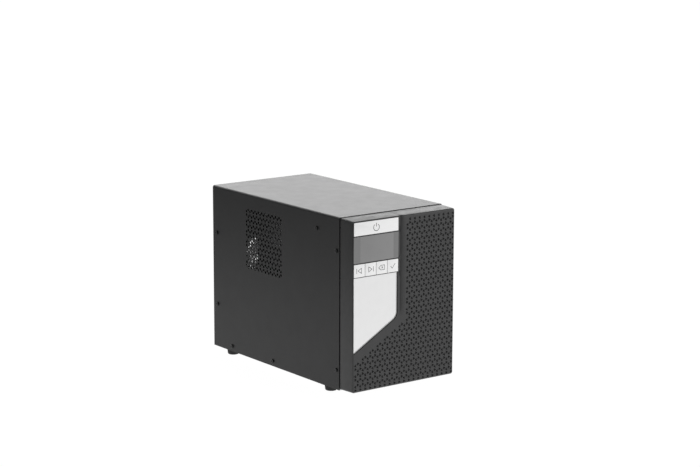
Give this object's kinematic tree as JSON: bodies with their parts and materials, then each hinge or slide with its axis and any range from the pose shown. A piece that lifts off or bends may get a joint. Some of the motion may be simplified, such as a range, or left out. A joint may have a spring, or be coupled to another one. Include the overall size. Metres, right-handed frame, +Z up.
{
  "type": "uninterruptible power supply",
  "caption": "Compact tower uninterruptible power supply: steel case with side vents, textured front cover with display and keys, battery drawer behind it, sockets and fan at the rear.",
  "frame": {"origin": "on the floor under the middle of the footprint, level with the undersides of the four rubber feet", "axes": "+Z up; the front cover and its display face -Y; +X is to the right of a person facing the front; the depth of the case runs along Y"},
  "size_m": [0.173, 0.3304, 0.238],
  "materials": {
    "cover_paint": "satin",
    "zinc_steel": "satin",
    "black_screw": "satin",
    "plain_screw": "satin",
    "foot_rubber": "matte",
    "front_plastic": "matte",
    "trim_plastic": "satin",
    "key_plastic": "satin",
    "window_plastic": "satin",
    "lcd_glass": "gloss",
    "black_plastic": "satin",
    "rail_plastic": "satin",
    "grey_plastic": "satin",
    "ivory_plastic": "satin",
    "battery_plastic": "satin",
    "red_plastic": "satin",
    "bright_metal": "satin",
    "contact_brass": "satin",
    "lead_plates": "matte",
    "core_steel": "satin",
    "copper_coil": "satin",
    "board_green": "satin",
    "sink_aluminium": "satin",
    "cap_sleeve": "satin",
    "relay_plastic": "satin",
    "red_lead": "satin",
    "black_lead": "satin"
  },
  "bodies": {
    "chassis": {"base_pan": "zinc_steel", "top_cover": "cover_paint", "front_plate": "zinc_steel", "rear_panel": "cover_paint", "shelf": "zinc_steel", "cross_brace": "zinc_steel", "tray_rails": "rail_plastic", "feet": "foot_rubber", "foot_screws": "plain_screw", "cover_screws": "black_screw", "chassis_screws": "plain_screw", "fan_frame": "black_plastic", "fan_guard": "bright_metal", "fan_screws": "black_screw", "ac_inlet": "black_plastic", "inlet_pins": "contact_brass", "breaker_body": "black_plastic", "outlet_bank_upper": "black_plastic", "outlet_bank_lower": "black_plastic", "usb_port": "bright_metal", "serial_port": "bright_metal", "surge_ports": "black_plastic", "slot_cover": "cover_paint", "panel_screws": "black_screw", "transformer_core": "core_steel", "transformer_coil": "copper_coil", "transformer_bracket": "zinc_steel", "main_board": "board_green", "board_standoffs": "ivory_plastic", "heatsinks": "sink_aluminium", "power_transistors": "relay_plastic", "capacitors": "cap_sleeve", "relays": "relay_plastic", "battery_socket": "grey_plastic", "dc_lead_red": "red_lead", "dc_lead_black": "black_lead", "display_socket": "ivory_plastic"},
    "fan": {"fan_rotor": "black_plastic"},
    "reset": {"breaker_button": "red_plastic"},
    "drawer": {"battery_tray": "zinc_steel", "battery_left": "battery_plastic", "battery_right": "battery_plastic", "battery_plates": "lead_plates", "battery_terminals": "bright_metal", "battery_lead_red": "red_lead", "battery_leads_black": "black_lead", "battery_plug": "grey_plastic", "tray_screws": "plain_screw", "pull_handle": "black_plastic"},
    "cover": {"front_cover": "front_plastic", "trim_panel": "trim_plastic", "display_window": "window_plastic", "display_module": "lcd_glass", "display_board": "board_green", "display_plug": "ivory_plastic"},
    "power_key_body": {"power_key": "key_plastic"},
    "key_previous_body": {"key_previous": "key_plastic"},
    "key_next_body": {"key_next": "key_plastic"},
    "key_clear_body": {"key_clear": "key_plastic"},
    "key_confirm_body": {"key_confirm": "key_plastic"}
  },
  "joints": [
    {"name": "fan_spin", "type": "hinge", "parent": "chassis", "child": "fan", "pos_m": [-0.038, 0.14585, 0.176], "axis": [0, 1, 0], "continuous": true},
    {"name": "reset_pop", "type": "slide", "parent": "chassis", "child": "reset", "axis": [0, 1, 0], "range_m": [0, 0.004]},
    {"name": "drawer_slide", "type": "slide", "parent": "chassis", "child": "drawer", "axis": [0, -1, 0], "range_m": [0, 0.15]},
    {"name": "cover_pull", "type": "slide", "parent": "chassis", "child": "cover", "axis": [0, -1, 0], "range_m": [0, 0.2475]},
    {"name": "power_key_press", "type": "slide", "parent": "cover", "child": "power_key_body", "axis": [0, 1, 0], "range_m": [0, 0.001], "stiffness_N_per_m": 1500, "springref_m": -0.0002},
    {"name": "key_previous_press", "type": "slide", "parent": "cover", "child": "key_previous_body", "axis": [0, 1, 0], "range_m": [0, 0.001], "stiffness_N_per_m": 1500, "springref_m": -0.0002},
    {"name": "key_next_press", "type": "slide", "parent": "cover", "child": "key_next_body", "axis": [0, 1, 0], "range_m": [0, 0.001], "stiffness_N_per_m": 1500, "springref_m": -0.0002},
    {"name": "key_clear_press", "type": "slide", "parent": "cover", "child": "key_clear_body", "axis": [0, 1, 0], "range_m": [0, 0.001], "stiffness_N_per_m": 1500, "springref_m": -0.0002},
    {"name": "key_confirm_press", "type": "slide", "parent": "cover", "child": "key_confirm_body", "axis": [0, 1, 0], "range_m": [0, 0.001], "stiffness_N_per_m": 1500, "springref_m": -0.0002}
  ],
  "couplings": [
    {"joint": "cover_pull", "follows": "drawer_slide", "ratio": 1.65}
  ]
}
